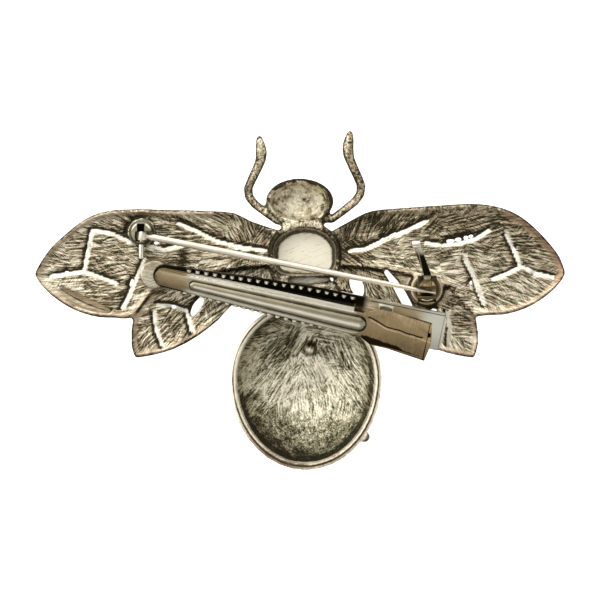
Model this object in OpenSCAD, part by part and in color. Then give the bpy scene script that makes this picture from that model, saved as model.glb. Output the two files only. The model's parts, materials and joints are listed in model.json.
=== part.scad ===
// Cast bee brooch lying on its face, back upwards, with a hinged pin, a safety catch and a hair clip.
// Lengths are in millimetres. X runs across the wings, Y from abdomen to head, Z up from the surface.

/* [Forewings] */
// Reach of the left forewing from the body's middle line
fore_left_len = 40.6; // [37:0.1:44]
// Reach of the right forewing from the body's middle line
fore_right_len = 39.2; // [36:0.1:43]
// Height of the left leading edge above the wing line
fore_left_lead = 8.1; // [7:0.05:9.5]
// Height of the right leading edge above the wing line
fore_right_lead = 8.85; // [7:0.05:9.5]
// Depth of the left trailing edge below the wing line
fore_left_trail = 8.4; // [7.4:0.05:9]
// Depth of the right trailing edge below the wing line
fore_right_trail = 8.0; // [7.4:0.05:9]

/* [Hindwings] */
// Reach of the hindwings from the body's middle line
hind_len = 26.1; // [23:0.1:29]
// Depth of the hindwings' lower edge below the wing line
hind_trail = 14.25; // [12.5:0.05:16]
// Height of the hindwings' root above the wing line
hind_root = 0.6; // [0.3:0.05:1]

/* [Wing metal] */
// Thickness of the wing casting
wing_t = 1.3; // [1:0.05:1.8]
// Width of the raised rim along the wing edges
rim_w = 1.0; // [0.6:0.05:1.4]
// Height of the rim above the wing's floor
rim_h = 0.4; // [0.2:0.05:0.6]
// Hollow of the wing's floor at the middle of its width
wing_cup = 0.25; // [0.1:0.05:0.4]
// Fall of the forewing tips towards the front
wing_droop = 1.2; // [0.4:0.1:2]
// Step down from the forewing to the hindwing
hind_step = 0.35; // [0.2:0.05:0.6]
// Depth of the lens-shaped recess near the left wing's tip
recess_d = 0.55; // [0.3:0.05:0.8]

/* [Body] */
// Height of the body's back rim above the surface
back_z = 8.0; // [7:0.1:9.5]
// Wall of the hollow body at its rim
body_wall = 1.05; // [0.8:0.05:1.4]
// Metal under the hollows at their deepest
body_floor = 1.2; // [0.9:0.05:1.6]
// Width of the abdomen
abdomen_w = 22.95; // [20:0.05:25]
// Distance of the abdomen's widest point below the wing line
abdomen_y = 17.4; // [16.5:0.1:18.5]
// Length of the abdomen from its widest point towards the thorax
abdomen_up = 11.7; // [11:0.1:12.5]
// Length of the abdomen from its widest point to its end
abdomen_low = 13.8; // [12:0.1:15.5]
// Width of the thorax
thorax_w = 10.7; // [9.5:0.05:12]
// Length of the thorax
thorax_len = 10.6; // [10:0.05:11.4]
// Depth of the thorax's hollow below its rim
thorax_hollow_d = 3.6; // [3.2:0.1:4]
// Depth of the head's hollow below the back
head_hollow_d = 5.4; // [5:0.1:6]
// Length of the thorax's hollow
thorax_hollow_len = 7.15; // [6.8:0.05:7.3]
// Width of the pocket between the thorax's hollow and the abdomen
pocket_w = 1.1; // [0.8:0.05:1.2]
// Width of the head
head_w = 10.2; // [9.2:0.05:11.5]
// Length of the head
head_len = 6.9; // [6.4:0.05:7.6]
// Distance of the head's middle above the wing line
head_y = 9.2; // [8.8:0.05:9.6]
// Width of the casting lump inside the abdomen
lump_w = 2.2; // [1.8:0.1:2.6]
// Width of the casting lump outside the abdomen
bead_w = 1.7; // [1.5:0.1:2]

/* [Antennae] */
// Topmost point of the left antenna above the wing line
antenna_left_y = 19.2; // [17:0.05:21]
// Topmost point of the right antenna above the wing line
antenna_right_y = 19.95; // [17:0.05:21]
// Outermost bend of the antennae from the body's middle line
antenna_out = 8.5; // [7.5:0.1:9.5]
// Thickness of the antennae
antenna_t = 1.5; // [1.3:0.05:1.6]

/* [Pin and hinge] */
// Distance of the hinge from the body's middle line
hinge_x = 24.4; // [23:0.1:26]
// Height of the hinge above the wing line
hinge_y = 4.45; // [4.2:0.05:5]
// Height of the pin's middle above the pads that carry its hinge and catch
pin_h = 1.7; // [1.6:0.05:1.9]
// Diameter of the pin wire
pin_d = 0.96; // [0.8:0.02:1.1]
// Width of the pin's knuckle
knuckle_w = 1.3; // [1.2:0.05:1.4]
// Diameter of the pin's knuckle
knuckle_d = 1.7; // [1.6:0.05:1.9]
// Diameter of the hinge rivet
rivet_d = 0.8; // [0.6:0.02:0.9]
// Length of rivet that stands out of the ball
rivet_out = 2.0; // [0.5:0.1:2.4]
// Diameter of the hinge ball
ball_d = 3.8; // [3.7:0.05:4.1]
// Diameter of the hinge pad
hinge_pad_d = 4.0; // [3.95:0.05:4.6]
// Reach of the pin past the catch ring's middle
pin_past = 1.3; // [1:0.1:2]

/* [Safety catch] */
// Distance of the catch from the body's middle line
catch_x = 18.3; // [17:0.1:19.5]
// Distance of the catch below the wing line
catch_y = 3.95; // [3.4:0.05:4.2]
// Outer diameter of the catch ring
ring_d = 4.0; // [3.8:0.05:4.2]
// Wall of the catch ring
ring_wall = 0.42; // [0.35:0.01:0.5]
// Width of the catch ring
ring_w = 2.8; // [2.4:0.1:3]
// Wall of the turning sleeve
sleeve_wall = 0.4; // [0.3:0.01:0.45]
// Diameter of the catch pad
catch_pad_d = 4.8; // [4.5:0.05:5.2]
// Reach of the catch lever from the ring's middle
lever_reach = 7.2; // [5:0.1:8]
// Width of the catch lever
lever_w = 1.1; // [0.9:0.05:1.2]
// Thickness of the catch lever
lever_t = 0.5; // [0.4:0.05:0.6]
// Sideways lean of the catch lever's end
lever_lean = 1.75; // [0.5:0.05:2.5]
// Angle of the open lever above the wing
lever_rise = 22; // [18:1:30]

/* [Fitting pads] */
// Thickness of the hinge and catch pads
pad_t = 0.5; // [0.4:0.05:0.7]
// Depth of the pads' seats below the body's back rim
seat_drop = 0.4; // [0.3:0.05:0.5]
// Metal of the casting under the seats
seat_t = 1.2; // [1:0.05:1.3]
// Metal of the seats round the pads
seat_rim = 0.2; // [0.1:0.05:0.3]
// Radius of the largest solder bed under the clip
bed_r = 2.7; // [2.4:0.05:2.9]

/* [Hair clip] */
// Reach of the upper lever from the axle to its tip
lever_front = 34.8; // [33:0.1:37]
// Reach of the upper lever from the axle to the end of its tail
lever_tail = 7.5; // [6.5:0.1:8.5]
// Reach of the lower jaw from the axle to its tip
base_front = 35.1; // [34:0.1:37]
// Reach of the lower jaw from the axle to the end of its tail
base_tail = 9.3; // [8.5:0.1:10]
// Width of the upper lever at its tip
clip_tip_w = 2.6; // [2.3:0.05:2.9]
// Width of the upper lever at the axle
clip_root_w = 3.7; // [3.4:0.05:4]
// Width of the upper lever's tail plate
clip_tail_w = 5.9; // [5.6:0.05:6.2]
// Width of the lower jaw at its tip
jaw_tip_w = 3.4; // [3.1:0.05:3.7]
// Width of the lower jaw from its middle to its tail
jaw_w = 5.9; // [5.8:0.05:6.3]
// Thickness of the clip's sheet metal
sheet_t = 0.5; // [0.4:0.05:0.6]
// Height of the upper lever's tip above the lower jaw
tip_h = 1.2; // [1:0.05:1.5]
// Height of the upper lever above the lower jaw at the axle
shoulder_h = 4.2; // [4:0.05:4.6]
// Height of the tail's end above the lower jaw
tail_h = 6.6; // [6:0.1:7]
// Height of the axle above the lower jaw
axle_h = 2.4; // [2.3:0.05:2.6]
// Diameter of the axle
axle_d = 1.2; // [1:0.05:1.3]
// Diameter of the spring coil
coil_d = 2.4; // [2:0.05:2.5]
// Spacing of the teeth
tooth_pitch = 1.3; // [1:0.05:1.6]
// Height of the teeth
tooth_h = 0.9; // [0.6:0.05:1.1]
// Height of the embossed rib
rib_h = 0.3; // [0.2:0.05:0.4]
// Turn of the clip across the brooch, tip towards the head
clip_turn = 11.5; // [10:0.5:13]
// Lean of the clip to one side
clip_lean = 18; // [15:0.5:20]
// Distance of the axle from the body's middle line
clip_x = 11.6; // [10.8:0.1:12.4]
// Distance of the axle below the wing line
clip_y = 9.4; // [9.2:0.05:9.9]

/* [Fits] */
// Radial clearance of turning fits
turn_fit = 0.04; // [0.02:0.01:0.06]
// Radial clearance of wires set in their holes
set_fit = 0.02; // [0.01:0.01:0.03]
// Gap at the side of a moving piece
side_gap = 0.07; // [0.05:0.01:0.1]
// Gap between a soldered clip and its solder bed
solder_gap = 0.05; // [0.03:0.01:0.1]

/* [Hidden] */

// Columns of the forewing table: share of the reach, left and right leading edge as shares of their
// heights, trailing edge as a share of its depth
REACH = 0;
LEAD_LEFT = 1;
LEAD_RIGHT = 2;
TRAIL = 3;
FORE = [
    [0.10, 0.60, 0.52, -0.05],
    [0.20, 0.77, 0.77, -0.09],
    [0.26, 0.92, 0.88, -0.12],
    [0.35, 0.96, 0.92, -0.19],
    [0.49, 0.98, 0.965, -0.34],
    [0.56, 0.99, 0.985, -0.50],
    [0.61, 1.00, 1.00, -0.82],
    [0.65, 0.99, 1.00, -1.00],
    [0.70, 0.98, 0.983, -0.99],
    [0.76, 0.926, 0.927, -0.98],
    [0.82, 0.79, 0.81, -0.91],
    [0.88, 0.56, 0.61, -0.785],
    [0.94, 0.28, 0.33, -0.58],
    [0.98, 0.00, 0.09, -0.38],
    [1.00, -0.19, -0.145, -0.22]
];
// Columns of the hindwing table: share of the reach, upper edge and lower edge as shares of the depth
UPPER = 1;
LOWER = 2;
HIND = [
    [0.14, 0.00, -0.28],
    [0.30, -0.02, -0.34],
    [0.42, -0.05, -0.45],
    [0.50, -0.07, -0.61],
    [0.62, -0.11, -0.78],
    [0.75, -0.17, -0.91],
    [0.87, -0.24, -0.975],
    [0.95, -0.42, -1.00],
    [0.975, -0.56, -1.00],
    [0.99, -0.66, -0.94],
    [1.00, -0.77, -0.86]
];
// Columns of the slot table: start, middle and end of the slot as shares of the forewing's reach and
// of its leading height, the slot's width, then the leading edge's column of the one wing that has it
MIDDLE = 2;
END = 4;
SLOT_W = 6;
ONLY = 7;
BOTH = 0;
SLOTS = [
    [0.785, 0.57, 0.80, 0.25, 0.82, 0.00, 0.52, BOTH],
    [0.940, -0.27, 0.88, -0.18, 0.82, -0.08, 0.50, BOTH],
    [0.815, -0.14, 0.76, -0.27, 0.70, -0.38, 0.48, BOTH],
    [0.715, 0.58, 0.59, 0.32, 0.465, 0.34, 0.58, BOTH],
    [0.465, 0.72, 0.34, 0.45, 0.230, 0.27, 0.55, LEAD_RIGHT],
    [0.465, 0.72, 0.42, 0.63, 0.370, 0.53, 0.45, LEAD_LEFT],
    [0.600, 0.05, 0.645, -0.38, 0.675, -0.77, 0.50, BOTH],
    [0.545, -0.78, 0.49, -0.80, 0.440, -0.88, 0.55, BOTH],
    [0.305, -0.11, 0.40, -0.62, 0.430, -1.15, 1.30, LEAD_RIGHT],
    [0.375, -0.64, 0.40, -0.80, 0.420, -1.00, 1.20, LEAD_LEFT],
    [0.555, -0.98, 0.55, -1.22, 0.540, -1.50, 0.50, BOTH],
    [0.180, -0.24, 0.205, -0.40, 0.215, -0.58, 2.00, LEAD_RIGHT],
    [0.180, -0.34, 0.19, -0.42, 0.205, -0.50, 0.90, LEAD_LEFT]
];
RECESS = [0.905, -0.47, 0.83, -0.78, 0.715, -0.89, 1.70];
// Columns of the antenna table: outward share, upward share, share of the thickness
OUT = 0;
UP = 1;
THICK = 2;
ANTENNA = [
    [0.26, 0.345, 0.85],
    [0.48, 0.335, 0.85],
    [0.68, 0.400, 0.88],
    [0.88, 0.470, 0.92],
    [0.985, 0.530, 0.95],
    [1.00, 0.600, 1.00],
    [0.93, 0.675, 1.05],
    [0.85, 0.750, 1.10],
    [0.78, 0.825, 1.18],
    [0.765, 0.885, 1.25],
    [0.78, 0.945, 1.14],
    [0.80, 1.000, 0.74]
];

// Columns of the solder bed table: place along the clip as a share of the upper lever's reach, place
// across it, radii at the foot and at the head as shares of the largest bed, depth below the back
ALONG = 0;
ACROSS = 1;
FOOT = 2;
HEAD = 3;
SUNK = 4;
BEDS = [
    [1.005, 0.75, 0.86, 0.68, 1.6],
    [0.353, 1.33, 0.96, 0.82, 1.0],
    [0.085, 0.05, 0.70, 0.63, 1.2]
];

wing_steps = 2;
slot_steps = 5;
edge_share = 0.22;
fine = 48;
egg_sides = 36;
abdomen_x = 0.15;
head_x = -0.75;
thorax_y = 0.75;
thorax_low = 0.8;
thorax_top = thorax_y + thorax_len / 2;
thorax_wall = 0.6;
thorax_top_wall = 0.85;
head_wall = 0.65;
dish_low = thorax_top - thorax_top_wall - thorax_hollow_len;
pocket_z = 4;
waist_r = 3.8;
waist_y = (abdomen_up - abdomen_y + thorax_y - thorax_len / 2) / 2;
neck_r = 3.2;
neck_y = (head_y - head_len / 2 + thorax_top) / 2;
rim_step = 0.2;
seat_z = back_z - seat_drop;
pad_z = seat_z + pad_t;
pin_z = pad_z + pin_h;
sleeve_r = ring_d / 2 - ring_wall - turn_fit;
bore_r = sleeve_r - sleeve_wall;
ball_drop = 0.2;
rivet_in = 1.15;
pin_y = hinge_y - 0.4;
knuckle_y = pin_y - 0.1;
pin_dx = hinge_x + catch_x + pin_past;
pin_side = 0.42;
pin_turn = -atan((pin_y + catch_y + pin_side) / (hinge_x + catch_x));
pin_len = pin_dx / cos(pin_turn);
mouth_from = 78;
mouth_to = 188;
lever_room = 16;
mouth_lap = 4;
bed_h = 3.2;
jaw_taper = 22.5;
teeth_from = 5.2;
teeth_to = 3.4;
base_low = axle_h + sheet_t;
clip_z = back_z + 0.1 + jaw_w / 2 * sin(clip_lean) + base_low * cos(clip_lean);
crest_x = 1.3;
bend_x = 5.6;
flange_end = 2.2;
rib_tip_r = 0.7;
rib_root_r = 1.15;
ear_r = 1.1;
tooth_t = 0.34;
ear_in = clip_root_w / 2 + side_gap;
ear_out = ear_in + sheet_t;
far = 60;

shift_x = (fore_left_len - fore_right_len) / 2;
shift_y = (abdomen_y + abdomen_low - antenna_right_y) / 2;

function mix(a, b, t) = a + (b - a) * t;
function bend3(a, b, c, t) = mix(mix(a, b, t), mix(b, c, t), t);
function row(table, i) = table[max(0, min(len(table) - 1, i))];
function spline(a, b, c, d, t) =
    0.5 * (2 * b + (c - a) * t + (2 * a - 5 * b + 4 * c - d) * t * t
    + (3 * b - 3 * c + d - a) * t * t * t);
function smooth(table, i, t) =
    spline(row(table, i - 1), row(table, i), row(table, i + 1), row(table, i + 2), t);
function smoothed(table, steps) = [
    for (i = [0 : len(table) - 2], k = [0 : steps - 1]) smooth(table, i, k / steps),
    table[len(table) - 1]
];
function power(v, p) = sign(v) * pow(abs(v), p);

// Solid through a list of rings with equally many points, each ring turning left seen from the last one
module loft(rings) {
    n = len(rings);
    m = len(rings[0]);
    points = [for (ring = rings) each ring];
    sides = [
        for (i = [0 : n - 2], k = [0 : m - 1])
            let (here = i * m, next = here + m, k2 = (k + 1) % m)
            each [[here + k, next + k, here + k2], [here + k2, next + k, next + k2]]
    ];
    first = [for (k = [0 : m - 1]) k];
    last = [for (k = [m - 1 : -1 : 0]) (n - 1) * m + k];
    polyhedron(points, concat(sides, [first, last]), convexity = 6);
}

// One section of a wing at x, from its lower edge to its upper edge, with a raised rim on both edges
function wing_section(x, low, high, z) =
    let (
        chord = max(high - low, 0.12),
        rim = min(rim_w, chord * edge_share),
        across = [
            for (s = [0, 0.45, 1]) rim * s / chord,
            for (s = [1 / 3, 2 / 3]) mix(rim, chord - rim, s) / chord,
            for (s = [1, 0.45, 0]) 1 - rim * s / chord
        ],
        depth = min(1, chord / (4 * rim_w)),
        top = [0.2, 0, rim_h, rim_h, rim_h, rim_h, 0, 0.2],
        belly = [for (s = across) (1 - pow(2 * s - 1, 2)) * wing_cup * depth]
    )
    concat(
        [for (i = [0 : 7]) [x, low + chord * across[i], z - wing_t * (0.62 + 0.38 * depth) - belly[i]]],
        [for (i = [7 : -1 : 0]) [x, low + chord * across[i], z - top[i] * depth - belly[i]]]
    );

module forewing(reach, lead, trail, lead_column) {
    loft([
        for (r = smoothed(FORE, wing_steps))
            wing_section(
                r[REACH] * reach, r[TRAIL] * trail, r[lead_column] * lead,
                back_z - rim_step - wing_droop * pow(r[REACH], 2)
            )
    ]);
}

module hindwing(reach) {
    loft([
        for (r = smoothed(HIND, wing_steps))
            wing_section(
                r[REACH] * hind_len, r[LOWER] * hind_trail, r[UPPER] * hind_trail + hind_root,
                back_z - rim_step - hind_step - wing_droop * pow(r[REACH] * hind_len / reach, 2)
            )
    ]);
}

// Lens-shaped outline along a bent line
function slot_outline(a, b, c, w) =
    let (
        side = function (t, s)
            let (
                d = mix(b - a, c - b, t),
                half = w * (0.2 + 0.3 * sin(180 * t)) * s
            )
            bend3(a, b, c, t) + [-d[1], d[0]] / norm(d) * half
    )
    concat(
        [for (i = [0 : slot_steps]) side(i / slot_steps, 1)],
        [for (i = [slot_steps : -1 : 0]) side(i / slot_steps, -1)]
    );

module slot(s, reach, lead) {
    at = function (i) [s[i] * reach, s[i + 1] * lead];
    polygon(slot_outline(at(0), at(MIDDLE), at(END), s[SLOT_W]));
}

module wing_pair(reach, lead, trail, lead_column) {
    difference() {
        union() {
            forewing(reach, lead, trail, lead_column);
            hindwing(reach);
        }
        for (s = SLOTS)
            if (s[ONLY] == BOTH || s[ONLY] == lead_column)
                translate([0, 0, -1]) linear_extrude(back_z + 2) slot(s, reach, lead);
        if (lead_column == LEAD_LEFT)
            translate([0, 0, back_z - rim_step - wing_droop * 0.7 - rim_h - recess_d])
                linear_extrude(3) slot(RECESS, reach, lead);
    }
}

// Round ring at a height, turned by half a side for each step
function ring(rx, ry, z, step, n) = [
    for (k = [0 : n - 1])
        let (a = 360 * (k + step / 2) / n)
        [rx * cos(a), ry * sin(a), z]
];

// Round drum between two radii, with its flat facets turned against each other
module drum(r1, r2, h, n, stretch = 1) {
    loft([ring(r1 * stretch, r1, 0, 0, n), ring(r2 * stretch, r2, h, 1, n)]);
}

// Round lump with its middle at the origin
module knob(d, n) {
    loft([for (i = [1 : 5]) ring(d / 2 * sin(30 * i), d / 2 * sin(30 * i), -d / 2 * cos(30 * i), i, n)]);
}

// Ring of an egg-shaped bowl, flatter the higher its square shares are, turned by half a side each step
function egg_ring(w, up, low, square_up, square_low, z, share, step) = [
    for (k = [0 : egg_sides - 1])
        let (a = 360 * (k + step / 2) / egg_sides, p = 2 / (sin(a) < 0 ? square_low : square_up))
        [
            share * w / 2 * power(cos(a), p),
            share * (sin(a) < 0 ? low : up) * power(sin(a), p),
            z
        ]
];

// Bowl form from its flattened bottom up to its rim. A hollow is carried on past the rim by extra and
// has its bottom dished.
module egg(w, up, low, depth, cap, steps, extra = 0, square_up = 2, square_low = 2) {
    fall = 2 / 2.3;
    dished = 0.04;
    first = asin(pow(cap, 1 / fall));
    z0 = 1 - pow(cos(first), fall);
    loft(concat(
        extra > 0 ? [egg_ring(w, up, low, square_up, square_low, -dished, cap / 2, -1)] : [],
        [
            for (i = [0 : steps])
                let (q = mix(first, 90, i / steps))
                egg_ring(
                    w, up, low, square_up, square_low,
                    depth * ((1 - pow(max(cos(q), 0), fall) - z0) / (1 - z0)), pow(sin(q), fall), i
                )
        ],
        extra > 0 ? [egg_ring(w, up, low, square_up, square_low, depth + extra, 1, steps + 1)] : []
    ));
}

module body_outside() {
    translate([abdomen_x, -abdomen_y, 0]) egg(abdomen_w, abdomen_up, abdomen_low, back_z, 0.26, 8);
    translate([0, thorax_y, thorax_low])
        egg(thorax_w, thorax_len / 2, thorax_len / 2, back_z - thorax_low, 0.3, 6, 0, 2.4, 2.4);
    translate([head_x, head_y, 0]) egg(head_w, head_len / 2, head_len / 2, back_z - rim_step, 0.34, 6);
    translate([abdomen_x, waist_y, 3]) drum(waist_r, waist_r, back_z - rim_step - 3, 20, 1.35);
    translate([head_x / 2, neck_y, 2.2]) drum(neck_r, neck_r, back_z - 2 * rim_step - 2.2, 20);
}

module body_hollows() {
    deep = back_z - body_floor;
    dish = thorax_hollow_len / 2;
    head_half = head_len / 2 - head_wall;
    pocket_y = dish_low - pocket_w * 0.6;
    translate([abdomen_x, -abdomen_y, body_floor])
        egg(abdomen_w - 2 * body_wall, abdomen_up - body_wall, abdomen_low - body_wall, deep, 0.3, 7, 2);
    translate([0, dish_low + dish, back_z - thorax_hollow_d])
        egg(thorax_w - 2 * thorax_wall, dish, dish, thorax_hollow_d, 0.78, 6, 2, 2, 4);
    translate([head_x, head_y, back_z - head_hollow_d])
        egg(head_w - 2 * head_wall, head_half, head_half, head_hollow_d - rim_step, 0.5, 5, 2);
    translate([0, 0, pocket_z])
        linear_extrude(back_z)
            polygon(slot_outline(
                [-0.31 * thorax_w, pocket_y], [0.07 * thorax_w, pocket_y - 0.1],
                [0.46 * thorax_w, pocket_y + 0.05], pocket_w
            ));
}

module antenna(top, side) {
    ends = ANTENNA[len(ANTENNA) - 1];
    reach = top - antenna_t / 2 * ends[THICK];
    for (i = [0 : len(ANTENNA) - 2])
        hull()
            for (r = [ANTENNA[i], ANTENNA[i + 1]])
                translate([side * r[OUT] * antenna_out, r[UP] * reach, back_z - 0.6 - 1.4 * r[UP]])
                    sphere(d = antenna_t * r[THICK], $fn = 8);
}

module at_clip() {
    translate([clip_x, -clip_y, clip_z]) rotate([0, 0, -clip_turn]) rotate([clip_lean, 0, 0]) children();
}

// Mound of solder that carries the clip, cut off along its underside
module solder_bed(bed) {
    difference() {
        translate([clip_x, -clip_y, 0]) rotate([0, 0, -clip_turn])
            translate([-bed[ALONG] * lever_front, bed[ACROSS], back_z - bed[SUNK]])
                drum(bed[FOOT] * bed_r, bed[HEAD] * bed_r, bed_h + bed[SUNK], 20);
        at_clip() translate([-far, -far, -base_low - solder_gap]) cube([2 * far, 2 * far, far]);
    }
}

module seat(d) {
    translate([0, 0, seat_z - seat_t]) drum(d / 2 + seat_rim, d / 2 + seat_rim, seat_t, 28);
}

module bee_casting() {
    color([0.62, 0.58, 0.48]) {
        difference() {
            union() {
                mirror([1, 0, 0])
                    wing_pair(fore_left_len, fore_left_lead, fore_left_trail, LEAD_LEFT);
                wing_pair(fore_right_len, fore_right_lead, fore_right_trail, LEAD_RIGHT);
                body_outside();
                antenna(antenna_left_y, -1);
                antenna(antenna_right_y, 1);
            }
            body_hollows();
        }
        translate([-hinge_x, hinge_y, 0]) seat(hinge_pad_d);
        translate([catch_x, -catch_y, 0]) seat(catch_pad_d);
        translate([0.06 * abdomen_w / 2, 0.376 * abdomen_up - abdomen_y, body_floor + 0.9])
            knob(lump_w, 12);
        translate([abdomen_x + 0.386 * abdomen_w, -abdomen_y - 0.638 * abdomen_low, back_z - 1.1])
            knob(bead_w, 10);
        for (bed = BEDS) solder_bed(bed);
    }
}

module at_hinge() {
    translate([-hinge_x, hinge_y, pin_z]) children();
}

module hinge_bracket() {
    slot_half = pin_d / 2 + side_gap;
    slot_fall = -tan(pin_turn) * ball_d / 2;
    slot_end = slot_half + 0.35;
    chamber = knuckle_w / 2 + side_gap;
    notch_at = -0.6;
    notch = [1.1, 1.25];
    color([0.66, 0.64, 0.56])
        difference() {
            union() {
                at_hinge() translate([0, 0, -pin_h - pad_t]) {
                    cylinder(d = hinge_pad_d, h = pad_t, $fn = fine);
                    cylinder(d = 0.94 * ball_d, h = pad_t + pin_h - ball_drop, $fn = fine);
                }
                intersection() {
                    at_hinge() translate([0, 0, -ball_drop]) sphere(d = ball_d, $fn = fine);
                    at_hinge() translate([-ball_d, -ball_d, -pin_h])
                        cube([2 * ball_d, 2 * ball_d, ball_d + 2]);
                }
            }
            translate([-hinge_x - slot_end, pin_y - slot_half - slot_fall, pad_z])
                cube([ball_d + slot_end, 2 * slot_half + slot_fall, ball_d]);
            translate([-hinge_x, knuckle_y + chamber, pin_z]) rotate([90, 0, 0])
                cylinder(r = knuckle_d / 2 + side_gap, h = 2 * chamber, $fn = fine);
            translate([-hinge_x + notch_at, hinge_y, pin_z + knuckle_d / 2 - side_gap])
                cube([notch[0], notch[1], ball_d]);
            at_hinge() rotate([90, 0, 0]) translate([0, 0, -rivet_in - 0.05])
                cylinder(d = rivet_d + 2 * set_fit, h = ball_d + rivet_in, $fn = fine);
        }
}

module hinge_rivet() {
    color([0.72, 0.70, 0.62])
        at_hinge() rotate([90, 0, 0]) translate([0, 0, -rivet_in])
            cylinder(d = rivet_d, h = rivet_in + ball_d / 2 + rivet_out, $fn = fine);
}

module pin_stem() {
    taper_at = pin_len * 0.62;
    point_at = pin_len - 2.2;
    thin = pin_d * 0.6;
    tip = pin_d * 0.12;
    color([0.86, 0.84, 0.76])
        difference() {
            union() {
                translate([-hinge_x, knuckle_y + knuckle_w / 2, pin_z])
                    rotate([90, 0, 0]) cylinder(d = knuckle_d, h = knuckle_w, $fn = fine);
                translate([-hinge_x, pin_y, pin_z]) rotate([0, 0, pin_turn]) rotate([0, 90, 0]) {
                    cylinder(d = pin_d, h = taper_at, $fn = fine);
                    translate([0, 0, taper_at])
                        cylinder(d1 = pin_d, d2 = thin, h = point_at - taper_at, $fn = fine);
                    translate([0, 0, point_at])
                        cylinder(d1 = thin, d2 = tip, h = pin_len - point_at, $fn = fine);
                }
            }
            translate([-hinge_x, knuckle_y + knuckle_w, pin_z])
                rotate([90, 0, 0]) cylinder(d = rivet_d + 2 * turn_fit, h = 2 * knuckle_w, $fn = fine);
        }
}

// Puts its children at the catch ring, with z along the ring's axis and x towards the head
module at_catch() {
    translate([catch_x, -catch_y, pin_z]) rotate([90, 0, 90]) children();
}

// Wedge of the ring between two angles, measured from the head side upwards
module wedge(from, to, r, w) {
    translate([0, 0, -w / 2]) linear_extrude(w)
        polygon([[0, 0], for (a = [from : (to - from) / 6 : to + 0.01]) r * [cos(a), sin(a)]]);
}

module catch_housing() {
    color([0.60, 0.55, 0.42]) {
        difference() {
            at_catch() translate([0, 0, -ring_w / 2]) cylinder(d = ring_d, h = ring_w, $fn = fine);
            at_catch() translate([0, 0, -ring_w])
                cylinder(r = sleeve_r + turn_fit, h = 2 * ring_w, $fn = fine);
            at_catch() wedge(mouth_from, mouth_to, ring_d, 2 * ring_w);
            at_catch() wedge(lever_rise - lever_room, mouth_from + mouth_lap, ring_d, lever_w + 4 * side_gap);
        }
        difference() {
            translate([catch_x, -catch_y, seat_z]) cylinder(d = catch_pad_d, h = pad_t, $fn = fine);
            at_catch() translate([0, 0, -ring_w])
                cylinder(r = sleeve_r + turn_fit, h = 2 * ring_w, $fn = fine);
        }
    }
}

module catch_roller() {
    neck = ring_d / 2 + 0.4;
    root = sleeve_r - sleeve_wall / 2;
    half = lever_w / 2;
    color([0.58, 0.52, 0.38]) {
        difference() {
            union() {
                at_catch() translate([0, 0, -ring_w / 2]) cylinder(r = sleeve_r, h = ring_w, $fn = fine);
                at_catch() rotate([0, 0, lever_rise]) rotate([90, 0, 0]) translate([0, 0, -lever_t / 2])
                    linear_extrude(lever_t) polygon([
                        [root, -half], [root, half], [neck, half], [lever_reach, half - lever_lean],
                        [lever_reach, -half - lever_lean], [neck, -half]
                    ]);
                at_catch() rotate([0, 0, lever_rise])
                    translate([lever_reach, lever_t / 4, -half - lever_lean])
                        cylinder(d = 2 * lever_t, h = lever_w, $fn = fine);
            }
            at_catch() translate([0, 0, -ring_w]) cylinder(r = bore_r, h = 2 * ring_w, $fn = fine);
            at_catch() wedge(mouth_from, mouth_to, sleeve_r + turn_fit, 2 * ring_w);
        }
    }
}

function clip_half(x) = mix(clip_tip_w, clip_root_w, min(1, (x + lever_front) / lever_front)) / 2;
function jaw_half(x) = mix(jaw_tip_w, jaw_w, min(1, (x + base_front) / jaw_taper)) / 2;

// Extrudes a side view, given as points of length and height above the lower jaw, across the clip
module across_clip(points, w) {
    rotate([90, 0, 0]) translate([0, 0, -w / 2]) linear_extrude(w)
        polygon([for (p = points) [p[0], p[1] - axle_h]]);
}

// Extrudes an outline seen from above through the whole height of the clip
module through_clip() {
    translate([0, 0, -far / 2]) linear_extrude(far) children();
}

// Outline of the upper lever's channel up to an end, seen from above, narrowed by an inset
module channel_plan(inset, end) {
    nose = clip_half(-lever_front) - inset;
    root = clip_half(0) - inset;
    middle = clip_tip_w / 2 - lever_front;
    polygon([[middle, nose], [middle, -nose], [0, -root], [end, -root], [end, root], [0, root]]);
    translate([middle, 0]) circle(r = nose, $fn = fine);
}

// Outline of the upper lever's tail plate, which starts inside the channel's width and bulges at its end
module tail_plan() {
    half = clip_tail_w / 2;
    from = -bend_x * 0.6;
    bulge = 0.5;
    polygon([
        [from, -clip_half(from) + 0.1], [-crest_x, -half + 0.15], [lever_tail - bulge, -half],
        [lever_tail, 0],
        [lever_tail - bulge, half], [-crest_x, half - 0.15], [from, clip_half(from) - 0.1]
    ]);
}

// Side view of the upper lever's top, lowered by a drop
function lever_top(drop) = [
    [-lever_front - 1, tip_h - drop], [-bend_x, shoulder_h - 0.15 - drop],
    [crest_x, shoulder_h - drop], [lever_tail + 1, tail_h - drop]
];

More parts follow.
